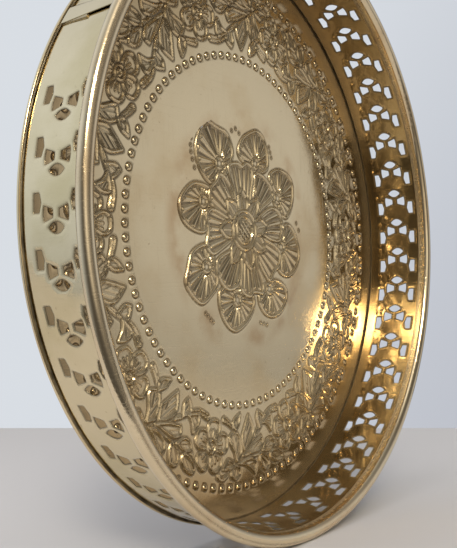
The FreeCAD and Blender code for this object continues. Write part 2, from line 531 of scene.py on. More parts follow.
def veined(root, tip, pitch=2.4, slant=0.3):
    """Inside a leaf: a midrib from root to tip and long veins that leave it at a shallow slant."""
    root, tip = np.array(root), np.array(tip)
    axis = (tip - root) / np.linalg.norm(tip - root)

    def inside(x, y, gap):
        p = (x - root[0]) * axis[0] + (y - root[1]) * axis[1]
        q = np.abs(-(x - root[0]) * axis[1] + (y - root[1]) * axis[0])
        height, dark = ribbed(q - slant * p, pitch)
        # painted shade and dirt in the veins' troughs
        return 0.45 * height - SUNK, 0.3 * dark
    return inside


def from_polar(points):
    """(degrees, radius) points to x and y."""
    return np.array([(r * math.cos(math.radians(a)), r * math.sin(math.radians(a)))
                     for a, r in points])


# -------- the flower band

# One repeat of the band, as (degrees from the flower, radius) points. A leaf's first point is its
# root and the point given twice is its tip.
BAND_LEAVES = [
    [(11.2, 117), (10.1, 112.1), (8, 107.9), (7.4, 105.3), (8.8, 103), (10.1, 101.9),
     (10.1, 101.9), (11.9, 105.4), (12.8, 109.2), (12.9, 113.4)],
    [(10, 101.5), (8.7, 99.3), (9.6, 96.1), (11.9, 93.5), (11.9, 93.5), (11.5, 98.1)],
    [(14.4, 112.4), (13.3, 106.5), (14.3, 101.6), (16.5, 94.9), (16.5, 94.9), (18.4, 100.4),
     (18.5, 104.5), (16.7, 109.2)],
    [(22, 102.8), (21, 97.4), (21.9, 94.2), (21.9, 94.2), (24, 96.9), (24.3, 99.4)],
    [(23.9, 100.9), (26.1, 103), (27.6, 107.2), (27.6, 107.2), (28.6, 103.3), (28, 98.6)],
    [(13.9, 114.6), (17.6, 114.2), (20.8, 114), (22.9, 111.4), (22.4, 107.7), (22.4, 107.7),
     (18.5, 109.6), (15.6, 112.6)],
    [(21.4, 116.6), (21.3, 120.3), (22.5, 125), (23.7, 125.4), (24.7, 123.8), (24.3, 120),
     (22.8, 116.9)],
    [(22.9, 115.3), (24.9, 111.6), (27.2, 111.9), (28.4, 114.8), (28.4, 114.8), (26.9, 116.9),
     (24.9, 116.6)],
    [(26, 118.4), (26.2, 121.6), (28, 124.4), (30.4, 125), (31, 123), (31, 123),
     (29.4, 119.9), (27.6, 118)],
    [(12.3, 118.4), (14.6, 119.2), (17.2, 122.6), (18.6, 125.2), (18.6, 125.2), (19.4, 121.2),
     (18.4, 118), (15.6, 117)],
    [(11, 119), (9.4, 121), (9.2, 124), (10.8, 126), (10.8, 126), (12.6, 123.4),
     (12.2, 120.4)],
    [(10.2, 117.8), (7.8, 116.2), (6.9, 117.8), (5.9, 120.6), (5.9, 120.6), (8.6, 120.2)],
]
BAND_STEMS = [
    ([(10.1, 101.9), (8, 99.5), (5.9, 97.7), (4.1, 96.8)], 0.3, 1),
    ([(12.2, 118.2), (15.6, 111.6), (19, 106.6), (21.8, 103), (24.5, 99.4), (28.2, 96.9),
      (32, 97.6)], 0.25, 1),
    ([(12.6, 116.4), (17, 115.9), (21.2, 116.2), (25.6, 117.8)], 0.35, 0.3),
    ([(28.4, 114.9), (29.2, 117.6), (30.2, 119.4)], 0.2, 0.45),
    ([(7.6, 123.4), (6.2, 125.4), (4.4, 124.8), (4, 122.8)], 0.2, 0.55),
]
FLOWER_R = 111.6              # of the flower's middle
FLOWER_PETAL = [(3, 1.5), (6, 3.9), (9.4, 4.6), (12.2, 3.2), (12.9, 0.9)]


def mirrored(half):
    """An outline from one side's (along, across) points."""
    return half + [(p, -q) for p, q in reversed(half)]


def turned(points, degrees, cx=0.0, cy=0.0, stretch=1.0, widen=1.0):
    """Points drawn as (along, across), laid along a direction from a centre."""
    c, s = math.cos(math.radians(degrees)), math.sin(math.radians(degrees))
    return [(cx + p * stretch * c - q * widen * s, cy + p * stretch * s + q * widen * c)
            for p, q in points]


def flower(relief, angle):
    """Five petals with short ribs, round a ringed eye."""
    cx, cy = from_polar([(angle, FLOWER_R)])[0]
    for k in (2, 3, 1, 4, 0):
        axis = angle + 180 + 72 * k
        outline = through(turned(mirrored(FLOWER_PETAL), axis, cx, cy))

        def ribs(x, y, gap, axis=axis):
            height, dark = ribbed(bearing(x, y, axis, cx, cy), 17)
            short = 1 - ease(np.hypot(x - cx, y - cy), 8.2, 9.8)
            # painted shade and dirt in the ribs' troughs
            return 0.7 * height * short - SUNK, 0.5 * dark * short
        relief.outlined(outline, ribs)
    relief.circle(cx, cy, 3.1)
    relief.circle(cx, cy, 1.1, raised=0.6, line=0.6)


def spray(relief, angle):
    """One repeat's stems and leaves."""
    def placed(points):
        return from_polar([(a + angle, r * BAND_STRETCH) for a, r in points])
    for points, start_half, end_half in BAND_STEMS:
        relief.stem(placed(points), start_half, end_half)
    for points in BAND_LEAVES:
        corners = placed(points)
        tip = max(corners, key=lambda corner: np.hypot(*(corner - corners[0])))
        relief.outlined(through(corners), veined(corners[0], tip))


def floor_shell(name, x, y, relief, quads, tris):
    """A closed piece of the stamped floor, hollow under its raised work."""
    relief.height = np.maximum(relief.height, -0.7 * SHEET)
    top = np.column_stack([x, y, SHEET + relief.height])
    bottom = np.column_stack([x, y, np.clip(relief.height * 0.9, 0, None)])
    made = make_object(name, *closed_shell(top, bottom, quads, tris))
    # painted shade and dirt in the creases, weaker underneath
    set_shade_and_dirt(made, np.concatenate([relief.shade_and_dirt, relief.shade_and_dirt * 0.3]))
    return made


def flower_band_unit():
    """A tenth of the band, centred on its flower, with its neighbours' work running in."""
    pitch = 360 / BAND_REPEATS
    inner, outer = INNER_BEADS[1], OUTER_BEADS[0]
    angle_steps = int(round(math.radians(pitch) * (inner + outer) / 2 / BAND_GRID))
    turns = np.radians(np.linspace(-pitch / 2, pitch / 2, angle_steps + 1))
    radii = np.linspace(inner, outer, int(round((outer - inner) / BAND_GRID)) + 1)
    turn, r = [a.ravel() for a in np.meshgrid(turns, radii, indexing="ij")]
    x, y = r * np.cos(turn), r * np.sin(turn)
    relief = Relief(x, y)
    for repeat in (-1, 0, 1):
        spray(relief, repeat * pitch)
    for repeat in (-1, 0, 1):
        flower(relief, repeat * pitch)
    edge = ease(r, inner, inner + 1.2) * ease(-r, -outer, -outer + 1.2)
    relief.height *= edge
    quads = grid_cells(len(turns), len(radii))[:, [0, 3, 2, 1]]
    return floor_shell("band_unit", x, y, relief, quads, NO_TRIS)


# -------- the medallion

# Each petal's outline. An outer petal also has its knob, from which its ribs spread.
OUTER_PETALS = [
    ((-20, 33), [(-31, 53), (-38, 44), (-39.5, 36), (-36, 28), (-28, 22), (-18, 25), (-12, 32),
        (-8.5, 40), (-13, 49), (-22, 51.5)]),
    ((12, 36), [(-4, 40), (0, 48), (8, 52.5), (15, 54), (21, 50), (24, 42), (23, 34), (14, 31),
        (3, 34)]),
    ((33, 19), [(25, 31), (33, 35), (42, 34), (48.5, 29), (49, 20), (45.5, 12), (40, 8), (31, 13),
        (26, 23)]),
    ((35, -8), [(37, 3), (43, 5), (49, 1), (53.5, -8), (53, -16), (46, -23), (38, -24.5),
        (31, -20), (33, -9)]),
    ((22, -31), [(14, -30), (27, -26), (37.5, -30), (39, -37), (33, -44), (24, -46.5), (16, -44),
        (11, -37)]),
    ((-8, -36), [(-22, -30), (-24, -38), (-19.5, -47), (-12, -52), (-4, -50), (3, -45), (7, -38),
        (4, -32), (-8, -28)]),
    ((-33, -19), [(-36, -8), (-44.5, -12), (-48, -20), (-49.5, -28), (-39, -37), (-30, -33),
        (-24.5, -27), (-26, -17), (-30, -9)]),
    ((-34, 13), [(-29, 20), (-40, 22), (-48, 18), (-53, 11), (-50.5, 3), (-43, -1.5), (-34, -2),
        (-29, 5), (-27, 13)]),
]
INNER_PETALS = [
    (54, [(6, 10), (8, 18), (9.5, 27), (12, 31), (18, 30.5), (25, 26), (28.5, 21), (26, 17),
        (17, 12), (10, 8)]),
    (135, [(-7, 9), (-10, 20), (-15, 26), (-21, 28), (-24, 24), (-29, 20), (-30, 14.5),
        (-27, 10.5), (-18, 7), (-9, 4)]),
    (-29, [(10, -3), (20, -4), (30, -8), (34, -12), (32, -19), (27, -22), (22, -27), (16, -22),
        (11, -15), (8, -9)]),
    (-126, [(-5, -9), (-15, -11), (-24, -15), (-25.5, -21), (-21, -28), (-15, -31), (-8, -29),
        (-4, -22), (-3, -15)]),
    (9, [(10, 4), (17, 10), (26, 13.5), (33, 12), (37, 6), (36, 3.5), (36.5, 0), (33, -5),
        (24, -4.5), (15, -1)]),
    (180, [(-9, 3), (-18, 7.5), (-28, 10), (-33, 6), (-31.8, 1), (-31.8, -3), (-33, -9),
        (-28, -13), (-20, -10), (-10, -4)]),
    (-76, [(-3, -11), (-4, -20), (-5.5, -28), (-3, -33), (3, -35), (6, -33), (10, -33),
        (15, -33.5), (16.5, -28), (12, -20), (8, -11)]),
    (95, [(-6, 10), (-9, 20), (-13, 29), (-12, 33.5), (-5, 35), (-1, 33.8), (3, 35.8), (8, 34),
        (9, 27), (7, 19), (5, 11)]),
]
SEPAL = [(9.5, 2.4), (13.0, 4.1), (17.0, 3.2), (20.4, 0.4)]
# Rows of small punched dots beside the petals: a line and how many dots it holds
DOT_ROWS = [
    ([(-34.0, 55.0), (-41.0, 48.0), (-43.0, 38.0), (-40.5, 29.0)], 9),
    ([(-9.0, 51.0), (-5.5, 52.5), (-2.5, 50.5)], 3),
    ([(25.5, 46.5), (27.5, 41.0)], 3),
    ([(51.5, 6.0), (54.0, 2.0)], 2),
    ([(-35.0, -41.5), (-29.5, -46.0)], 4),
    ([(12.0, -48.5), (18.0, -50.0)], 3),
]


def outer_petal(relief, knob, outline):
    """A fan petal: ribs spread from a small knob out to the outline."""
    axis = math.degrees(math.atan2(knob[1], knob[0]))

    def fan(x, y, gap):
        out = np.hypot(x - knob[0], y - knob[1])
        height, dark = ribbed(bearing(x, y, axis, *knob), 19)
        held = ease(out, 3.4, 4.6) * ease(-gap, 1.3, 2.1)
        # painted shade and dirt in the ribs' troughs
        return height * held - SUNK, np.where(gap < -1.3, dark * ease(out, 3.4, 4.4), 0)
    relief.outlined(through(outline), fan, raised=0.92, line=0.85, inset=0.5)
    relief.circle(knob[0], knob[1], 2.5, raised=0.6, line=0.6)


def inner_petal(relief, axis, outline):
    """A petal ribbed lengthwise, with a step inside its outline."""
    def ribs(x, y, gap):
        height, dark = ribbed(bearing(x, y, axis), 8.2)
        # painted shade and dirt in the ribs' troughs
        return height * ease(-gap, 1.2, 2.2) - SUNK, np.where(gap < -1.3, dark, 0)
    relief.outlined(through(outline), ribs, raised=0.95, line=0.95, inset=0.6)


def sepal(relief, axis):
    """A pointed leaf with a midrib, between the inner petals' roots."""
    def split(x, y, gap):
        middle = ridge(bearing(x, y, axis) * np.hypot(x, y) * math.pi / 180, 0.7)
        # painted shade and dirt either side of the midrib
        return 0.6 * middle - SUNK, 0.7 * (1 - middle)
    relief.outlined(through(turned(mirrored(SEPAL), axis)), split, line=0.6)


def medallion_eye(relief):
    """The middle: a ring, a groove and a crosshatched button."""
    relief.circle(0, 0, 10.0, line=0.75, body=-0.2)
    relief.circle(0, 0, 6.9, raised=0.8, line=0.6, body=-0.45)
    r = np.hypot(relief.x, relief.y)
    pick = r < 6.3
    x, y = relief.x[pick], relief.y[pick]
    cross = np.maximum(np.cos(2 * math.pi * (x + y) / 3.4), np.cos(2 * math.pi * (x - y) / 3.4))
    button = 1 - ease(r[pick], 4.9, 5.9)
    relief.height[pick] += (0.15 + 0.55 * np.clip(cross, 0, 1)) * button
    # painted shade and dirt in the crosshatch's cuts
    cuts = (1 - ease(cross, 0.1, 0.7)) * button
    relief.shade_and_dirt[pick] = np.maximum(relief.shade_and_dirt[pick] * (1 - button), cuts)


def medallion_relief(x, y):
    relief = Relief(x, y)
    for knob, outline in OUTER_PETALS:
        outer_petal(relief, knob, outline)
    for points, count in DOT_ROWS:
        line = through(points, closed=False)
        for k in range(count):
            relief.dot(*line[k * (len(line) - 1) // (count - 1)], 0.75, 0.55)
    for axis, outline in INNER_PETALS:
        inner_petal(relief, axis, outline)
    for axis, _ in INNER_PETALS:
        sepal(relief, axis)
    medallion_eye(relief)
    return relief


def medallion_quarter(index):
    """A quarter of the medallion, from the axis out to the plain ring."""
    steps = int(math.ceil((MEDALLION_R + 1) / MEDALLION_GRID))
    side = np.arange(steps + 1) * MEDALLION_GRID
    points, quads, tris = clipped_grid(side, side, lambda x, y: MEDALLION_R - np.hypot(x, y))
    x, y = points[:, 0], points[:, 1]
    for _ in range(index):
        x, y = -y, x
    return floor_shell("medallion_%d" % (index + 1), x, y, medallion_relief(x, y), quads, tris)


# -------- bead rings

def bead_unit(inner, outer, ring_r, count):
    """A wedge of floor with one domed bead, and its hollow underneath."""
    half = math.pi / count
    around = 16
    cap = (BEAD_R ** 2 + BEAD_HEIGHT ** 2) / (2 * BEAD_HEIGHT)
    rings = [(share * BEAD_R, math.sqrt(cap ** 2 - (share * BEAD_R) ** 2) - cap + BEAD_HEIGHT)
             for share in (0.4, 0.74, 0.93, 1.0)] + [(1.12 * BEAD_R, -0.15), (1.32 * BEAD_R, 0.0)]
    x, y, z = [ring_r], [0.0], [BEAD_HEIGHT]
    for radius, height in rings:
        for k in range(around):
            turn = 2 * math.pi * k / around
            x.append(ring_r + radius * math.cos(turn))
            y.append(radius * math.sin(turn))
            z.append(height)
    for k in range(around):
        c, s = math.cos(2 * math.pi * k / around), math.sin(2 * math.pi * k / around)
        reach = max(abs(c), abs(s))
        r = ring_r + (c / reach) * ((outer - ring_r) if c > 0 else (ring_r - inner))
        x.append(r * math.cos(half * s / reach))
        y.append(r * math.sin(half * s / reach))
        z.append(0.0)
    tris = np.array([[0, 1 + k, 1 + (k + 1) % around] for k in range(around)])
    quads = [[1 + level * around + k, 1 + (level + 1) * around + k,
              1 + (level + 1) * around + (k + 1) % around, 1 + level * around + (k + 1) % around]
             for level in range(len(rings)) for k in range(around)]
    z = np.array(z)
    top = np.column_stack([x, y, SHEET + z])
    bottom = np.column_stack([x, y, np.clip(z * 0.85, 0, None)])
    shell = closed_shell(top, bottom, np.array(quads), tris)
    made = make_object("bead_unit", *shell, sharp_degrees=50)
    # painted shade and dirt round the bead's foot and in its moat
    foot = np.zeros(len(x))
    foot[1 + 3 * around:1 + 5 * around] = 1.0
    set_shade_and_dirt(made, np.concatenate([foot, foot * 0]))
    return made


# -------- the wall

def hole_outlines():
    """The five holes of a motif, as (along, up) outlines. Along runs anticlockwise from the eye."""
    eye = []
    for side in (1, -1):
        for t in np.linspace(-1, 1, 9)[:-1]:
            eye.append((2.2 * side * (1 - t * t), 4.0 * t * side))
    outlines = [np.array(eye)]
    petal = [(-1.4, -2.3), (1.4, -2.3), (2.9, 2.3), (1.5, 2.6), (0, 2.7), (-1.5, 2.6), (-2.9, 2.3)]
    slot = [(-3.65, 1.4), (-3.65, -1.4), (0.0, -2.4), (3.65, -1.4), (3.65, 1.4)]
    for up in (1, -1):
        outlines.append(np.array([(p - 5.3, up * (q + 4.0)) for p, q in petal]))
        outlines.append(np.array([(p - 9.6, up * (q + SLOT_OFFSET_UP)) for p, q in slot]))
    return outlines


def wall_shell(name, along, up, quads, tris, metal_left):
    """Bends a flat strip round the axis. Near a hole its faces curve over and draw inwards."""
    angle = along / WALL_MID_R
    lean = -HOLE_DISH * np.exp(-(metal_left / DISH_REACH) ** 2)
    into = np.clip(HOLE_ROUND - metal_left, 0, HOLE_ROUND)
    over = HOLE_ROUND - np.sqrt(HOLE_ROUND ** 2 - into ** 2)
    sheets = [round_sheet(radius, angle, up)
              for radius in (WALL_OUT_R + lean - over, WALL_IN_R + lean + over)]
    made = make_object(name, *closed_shell(*sheets, quads, tris), sharp_degrees=50)
    # painted shade and dirt round each hole's edge, reaching further on the inner face
    set_shade_and_dirt(made, np.concatenate([np.exp(-(metal_left / reach) ** 2) for reach in HOLE_SHADE_AND_DIRT]))
    return made


def pierced_cell(pitch_degrees):
    """One pitch of pierced wall, its eye at angle 0."""
    low, high = [math.radians(a) * WALL_MID_R for a in (CELL_LEAD - pitch_degrees, CELL_LEAD)]
    foot = SHEET + FOOT_BEND_R
    xs = np.linspace(low, high, int(round((high - low) / WALL_GRID)) + 1)
    ys = np.linspace(foot, ROLL_START_Z, int(round((ROLL_START_Z - foot) / WALL_GRID)) + 1)
    outlines = hole_outlines()

    def metal(x, y):
        return np.min([signed_distance(x, y - MOTIF_Z, outline) for outline in outlines], axis=0)
    points, quads, tris = clipped_grid(xs, ys, metal)
    left = np.clip(metal(points[:, 0], points[:, 1]), 0, None)
    return wall_shell("wall_cell", points[:, 0], points[:, 1], quads, tris, left)


def plain_stretch(name, start, end):
    """Unpierced wall between two angles."""
    low, high = math.radians(start) * WALL_MID_R, math.radians(end) * WALL_MID_R
    xs = np.linspace(low, high, int(round(high - low)) + 1)
    ys = np.linspace(SHEET + FOOT_BEND_R, ROLL_START_Z, 16)
    points, quads, tris = clipped_grid(xs, ys, lambda x, y: np.ones(x.shape))
    return wall_shell(name, points[:, 0], points[:, 1], quads, tris, np.full(len(points), 9.0))


def seam_start():
    return SEAM_ANGLE + math.degrees(SEAM_GAP / WALL_OUT_R)


def wall_foot():
    """The strip's foot, turned outwards over the floor."""
    centre_r, centre_z = WALL_IN_R + FOOT_BEND_R, SHEET + FOOT_BEND_R
    reach = FOLD_R - SHEET - FOLD_GAP
    section = round_points(centre_r, centre_z, FOOT_BEND_R, 180, 270, 6)
    section += [(reach, SHEET), (reach, 2 * SHEET)]
    section += round_points(centre_r, centre_z, FOOT_BEND_R - SHEET, 270, 180, 4)
    foot = swept("wall_foot", section, seam_start(), SEAM_ANGLE + 360)
    # painted shade on the foot's outer side, in the groove under the floor's lip
    return shade_and_dirt_where(foot, lambda r, z: np.where(r > WALL_IN_R + 0.02, 1.0, 0.0))


def rolled_rim():
    """The strip's top, rolled outwards over the wire until its raw edge meets the wall."""
    inner = ROLL_R - SHEET
    hook = -180 + math.degrees(math.acos((ROLL_CENTRE_R - WALL_OUT_R - 0.1) / ROLL_R))
    outer_arc = round_points(ROLL_CENTRE_R, ROLL_Z, ROLL_R, 180, hook, 40)
    inner_arc = round_points(ROLL_CENTRE_R, ROLL_Z, inner, hook, 180, 30)
    inner_arc[-1] = (WALL_OUT_R, ROLL_Z)
    section = [(WALL_IN_R, ROLL_START_Z)] + outer_arc + inner_arc + [(WALL_OUT_R, ROLL_START_Z)]
    rim = swept("rolled_rim", section[::-1], seam_start(), SEAM_ANGLE + 360, steps=480)

    def worn(r, z):
        # painted shade and dirt where the roll's raw edge meets the wall, and a painted shade line
        # round the roll
        under = 1 - ease(np.hypot(r - WALL_OUT_R - 0.2, z - ROLL_START_Z - 1), 0.9, 1.9)
        turn = np.degrees(np.arctan2(z - ROLL_Z, r - ROLL_CENTRE_R))
        at, width, depth = RIM_LINE
        return np.maximum(under, depth * ridge(turn - at, width))
    return shade_and_dirt_where(rim, worn)


def lap_tongue():
    """The strip's far end, lapped outside the near one and held off by the roll at its head."""
    low_z, high_z = LIP_TOP_Z + LAP_ENDS[0], ROLL_Z - ROLL_R - LAP_ENDS[1]
    sweep = math.degrees((SEAM_GAP + LAP_LENGTH) / WALL_OUT_R)
    turns = np.linspace(-LAP_LEAD, sweep, 14)
    rows = np.linspace(0, 1, 12)
    turn, row = [a.ravel() for a in np.meshgrid(turns, rows, indexing="ij")]
    turn = SEAM_ANGLE + np.where(turn > 0, turn * (1 - LAP_SLANT * row), turn)
    clear = LAP_FOOT_GAP + (LAP_HEAD_GAP - LAP_FOOT_GAP) * row
    joggle = ease(turn, SEAM_ANGLE - LAP_LEAD, SEAM_ANGLE + 0.1)
    inner_r = WALL_OUT_R - SHEET * 0.9 + (SHEET * 0.9 + clear) * joggle
    z = low_z + (high_z - low_z) * row
    sheets = [round_sheet(r, np.radians(turn), z) for r in (inner_r + SHEET, inner_r)]
    cells = grid_cells(len(turns), len(rows))
    made = make_object("lap_tongue", *closed_shell(*sheets, cells, NO_TRIS))
    soft = made.modifiers.new("eased edges", "BEVEL")
    soft.width, soft.segments, soft.limit_method = 0.22 * MM, 2, "ANGLE"
    return made


def floor_margin():
    """Plain floor outside the outer beads, with its edge folded up and over the wall's foot."""
    inner_r = OUTER_BEADS[1]
    lip_r = WALL_IN_R + FOOT_BEND_R + FOLD_GAP
    fold_in = FOLD_R - SHEET
    bend = SHEET * 0.95
    section = [(inner_r, 0.0), (FOLD_R - bend, 0.0)]
    section += round_points(FOLD_R - bend, bend, bend, -75, 0, 5)
    section += round_points(FOLD_R - bend, LIP_TOP_Z - bend, bend, 0, 90, 5)
    section += [(lip_r + 0.15, LIP_TOP_Z), (lip_r, LIP_TOP_Z - 0.15), (lip_r, LIP_TOP_Z - SHEET)]
    section += [(fold_in, LIP_TOP_Z - SHEET)]
    section += [(r, SHEET) for r in (fold_in, WALL_IN_R - 0.1, WALL_IN_R - 0.9) + MARGIN_RINGS]
    section += [(inner_r, SHEET)]

    def hidden(r, z):
        above = z > SHEET / 2
        under_lip = above & (z < LIP_TOP_Z - SHEET / 2)
        # painted shade: the corner under the lip and the groove between lip and wall go dark
        in_corner = under_lip & (r > WALL_IN_R - 0.2) & (r < fold_in + 0.1)
        in_groove = (r > WALL_IN_R) & (r < lip_r + 0.2) & (z > SHEET + 0.1)
        margin = above & (r < WALL_IN_R)
        # painted shade and dirt: the margin darkens towards the wall
        outwards = 0.35 * ease(r, inner_r, MARGIN_RINGS[0])
        return np.where(in_corner | in_groove, 1, np.where(margin, outwards, 0))
    return shade_and_dirt_where(swept("floor_margin", section), hidden)


def plain_ring():
    inner, outer = MEDALLION_R, INNER_BEADS[0]
    return swept("plain_ring", [(inner, 0), (outer, 0), (outer, SHEET), (inner, SHEET)])


# -------- brass

def wear_group():
    """Handled metal: cloudy tarnish, spots, fine scratches and slow waves in the sheet."""
    group = bpy.data.node_groups.new("Handled metal", "ShaderNodeTree")
    for label in ("Tarnish", "Scratches", "Waves"):
        group_socket(group, label, "INPUT")
    for label in ("Cloud", "Spots", "Scratch", "Height"):
        group_socket(group, label, "OUTPUT")
    given, result = group.nodes.new("NodeGroupInput"), group.nodes.new("NodeGroupOutput")
    where = group.nodes.new("ShaderNodeTexCoord").outputs["Object"]

    def times(value, label):
        return product(group, value, given.outputs[label])
    spots = product(group, clouds(group, where, 420, 3, 0.66, 0.78),
                    clouds(group, where, 34, 2, 0.45, 0.65))
    lines = None
    for stretch in ((9, 420, 60), (380, 14, 60), (150, 210, 9)):
        line = clouds(group, where, 2.4, 2, 0.60, 0.70, stretch=stretch)
        lines = line if lines is None else arithmetic(group, "MAXIMUM", lines, line)
    scratch = times(lines, "Scratches")
    fine = product(group, mapped_noise(group, where, 900, 3), 0.012)
    height = arithmetic(group, "ADD", times(mapped_noise(group, where, 30, 1), "Waves"), fine)
    height = arithmetic(group, "MULTIPLY_ADD", scratch, -0.015, height)
    cloud = times(clouds(group, where, 26, 5, 0.42, 0.72), "Tarnish")
    for label, value in (("Cloud", cloud), ("Spots", times(spots, "Tarnish")),
                         ("Scratch", scratch), ("Height", height)):
        feed(group, result.inputs[label], value)
    return group


WEAR = wear_group()

# Browns: the tarnish of the spots and the halo, and painted shade towards the floor's fold and on
# the wall's inner face
SPOTS = (0.24, 0.15, 0.07, 1.0)
HALO = (0.50, 0.30, 0.13, 1.0)
FOLD_SHADE = (0.46, 0.30, 0.13, 1.0)
INNER_FACE_SHADE = (0.42, 0.32, 0.18, 1.0)

# Radii over which the floor's halo stain and its painted shade towards the fold come in and go out
HALO_RISE, HALO_FALL = (46.0, 57.0), (56.5, 66.0)
EDGE_RISE, EDGE_FALL = (88.0, 142.0), (146.3, 146.9)


def stained_and_shaded_floor(tree, where, shade):
    """A brown halo stain round the medallion, and a brown tint of painted shade that deepens
    towards the fold.
    """
    radius = vector_math(tree, "LENGTH", where)
    ring = between(tree, radius, HALO_RISE, HALO_FALL)
    ring = product(tree, ring, clouds(tree, where, 38, 4, 0.42, 0.62))
    shade = mixed(tree, product(tree, ring, 0.6), shade, HALO)
    # painted shade and reflection: browner towards the fold and the wall
    return mixed(tree, between(tree, radius, EDGE_RISE, EDGE_FALL, 0.65), shade, FOLD_SHADE)


def inner_face_shade(tree, where, radius, shade):
    """The wall's inner face, painted browner in clouds: painted shade and reflection."""
    out = vector_math(tree, "LENGTH", vector_math(tree, "MULTIPLY", where, (1, 1, 0)))
    within = band_pass(tree, out, (radius - 0.08) * MM, (radius + 0.08) * MM, 1.0, 0.0)
    share = product(tree, within, clouds(tree, where, 22, 4, 0.3, 0.7, 0.5, 1.0))
    # painted shade and reflection: the inner face is browner
    return mixed(tree, share, shade, INNER_FACE_SHADE)


def brass(name, colour, shade_and_dirt_colour, roughness, tarnish, scratches, waves, halo=False, shade_and_dirt=True,
          inside=0.0, dull=(0.86, 0.76, 0.62)):
    """A worn brass. colour is the rubbed metal, and the second colour is what the low places darken
    to: painted shade, with the tarnish and dirt that stay there.

    halo adds the floor's halo stain and the painted shade towards its fold, and inside is the
    radius within which the metal is browner, as painted shade and reflection.
    """
    metal = bpy.data.materials.new(name)
    metal.use_nodes = True
    tree = metal.node_tree
    shader = tree.nodes["Principled BSDF"]
    shader.inputs["Metallic"].default_value = 1.0
    wear = tree.nodes.new("ShaderNodeGroup")
    wear.node_tree = WEAR
    for label, value in (("Tarnish", tarnish), ("Scratches", scratches), ("Waves", waves)):
        wear.inputs[label].default_value = value
    dulled = tuple(c * f for c, f in zip(colour, dull)) + (1.0,)
    shade = mixed(tree, wear.outputs["Cloud"], colour + (1.0,), dulled)
    shade = mixed(tree, wear.outputs["Spots"], shade, SPOTS)
    rough = arithmetic(tree, "MULTIPLY_ADD", wear.outputs["Cloud"], 0.12, roughness)
    rough = arithmetic(tree, "MULTIPLY_ADD", wear.outputs["Scratch"], 0.10, rough)
    where = tree.nodes.new("ShaderNodeTexCoord").outputs["Object"]
    if halo:
        shade = stained_and_shaded_floor(tree, where, shade)
    if inside:
        shade = inner_face_shade(tree, where, inside, shade)
    if shade_and_dirt:
        # painted shade and dirt: the marked low places turn dark, rougher and less metallic
        low = tree.nodes.new("ShaderNodeAttribute")
        low.attribute_name = "shade_and_dirt"
        uneven = clouds(tree, where, 160, 3, 0.25, 0.75, 0.65, 1.0)
        share = product(tree, low.outputs["Fac"], uneven)
        shade = mixed(tree, product(tree, share, 0.95), shade, shade_and_dirt_colour + (1.0,))
        rough = arithmetic(tree, "MULTIPLY_ADD", share, 0.3, rough)
        feed(tree, shader.inputs["Metallic"], arithmetic(tree, "MULTIPLY_ADD", share, -0.7, 1.0))
    bump = tree.nodes.new("ShaderNodeBump")
    for socket, value in ((shader.inputs["Base Color"], shade), (shader.inputs["Roughness"], rough),
                          (bump.inputs["Strength"], 1.0), (bump.inputs["Distance"], 1.0 * MM),
                          (bump.inputs["Height"], wear.outputs["Height"]),
                          (shader.inputs["Normal"], bump.outputs[0])):
        feed(tree, socket, value)
    return metal


FLOOR_BRASS = brass("floor brass", (0.80, 0.655, 0.41), (0.06, 0.038, 0.018), roughness=0.10,
                    tarnish=0.55, scratches=0.5, waves=0.35, halo=True)
WALL_BRASS = brass("wall brass", (0.80, 0.67, 0.43), (0.045, 0.032, 0.018), roughness=0.09,
                   tarnish=0.7, scratches=0.6, waves=0.9, inside=WALL_IN_R + 0.12,
                   dull=(0.78, 0.76, 0.62))
RIM_BRASS = brass("rim brass", (0.86, 0.71, 0.47), (0.07, 0.035, 0.02), roughness=0.13,
                  tarnish=0.5, scratches=0.9, waves=0.5, dull=(0.76, 0.63, 0.50))
WIRE_BRASS = brass("wire brass", (0.62, 0.46, 0.24), (0.2, 0.12, 0.05), roughness=0.35,
                   tarnish=0.8, scratches=0.2, waves=0.1, shade_and_dirt=False)
BRAZE = brass("lap braze", (0.60, 0.52, 0.36), (0.2, 0.15, 0.08), roughness=0.5,
              tarnish=0.9, scratches=0.1, waves=0.6, shade_and_dirt=False)


# -------- build

def finish_piece(piece, node, metal):
    piece.data.materials.clear()
    piece.data.materials.append(metal)
    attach(piece, "root")
    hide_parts(node)


def build_floor():
    pieces = [medallion_quarter(i) for i in range(4)] + [plain_ring(), floor_margin()]
    for name, ring in (("inner_beads", INNER_BEADS), ("outer_beads", OUTER_BEADS)):
        unit = bead_unit(*ring)
        pieces.append(repeated(unit, name, ring[3], 0, 360 / ring[3], FLOOR_BRASS))
        bpy.data.objects.remove(unit)
    unit = flower_band_unit()
    pitch = 360 / BAND_REPEATS
    each = BAND_REPEATS // BAND_PIECES
    for i in range(BAND_PIECES):
        start = BAND_FIRST_ANGLE + i * each * pitch
        pieces.append(repeated(unit, "flower_band_%d" % (i + 1), each, start, pitch, FLOOR_BRASS))
    bpy.data.objects.remove(unit)
    for piece in pieces:
        finish_piece(piece, "floor_plate", FLOOR_BRASS)


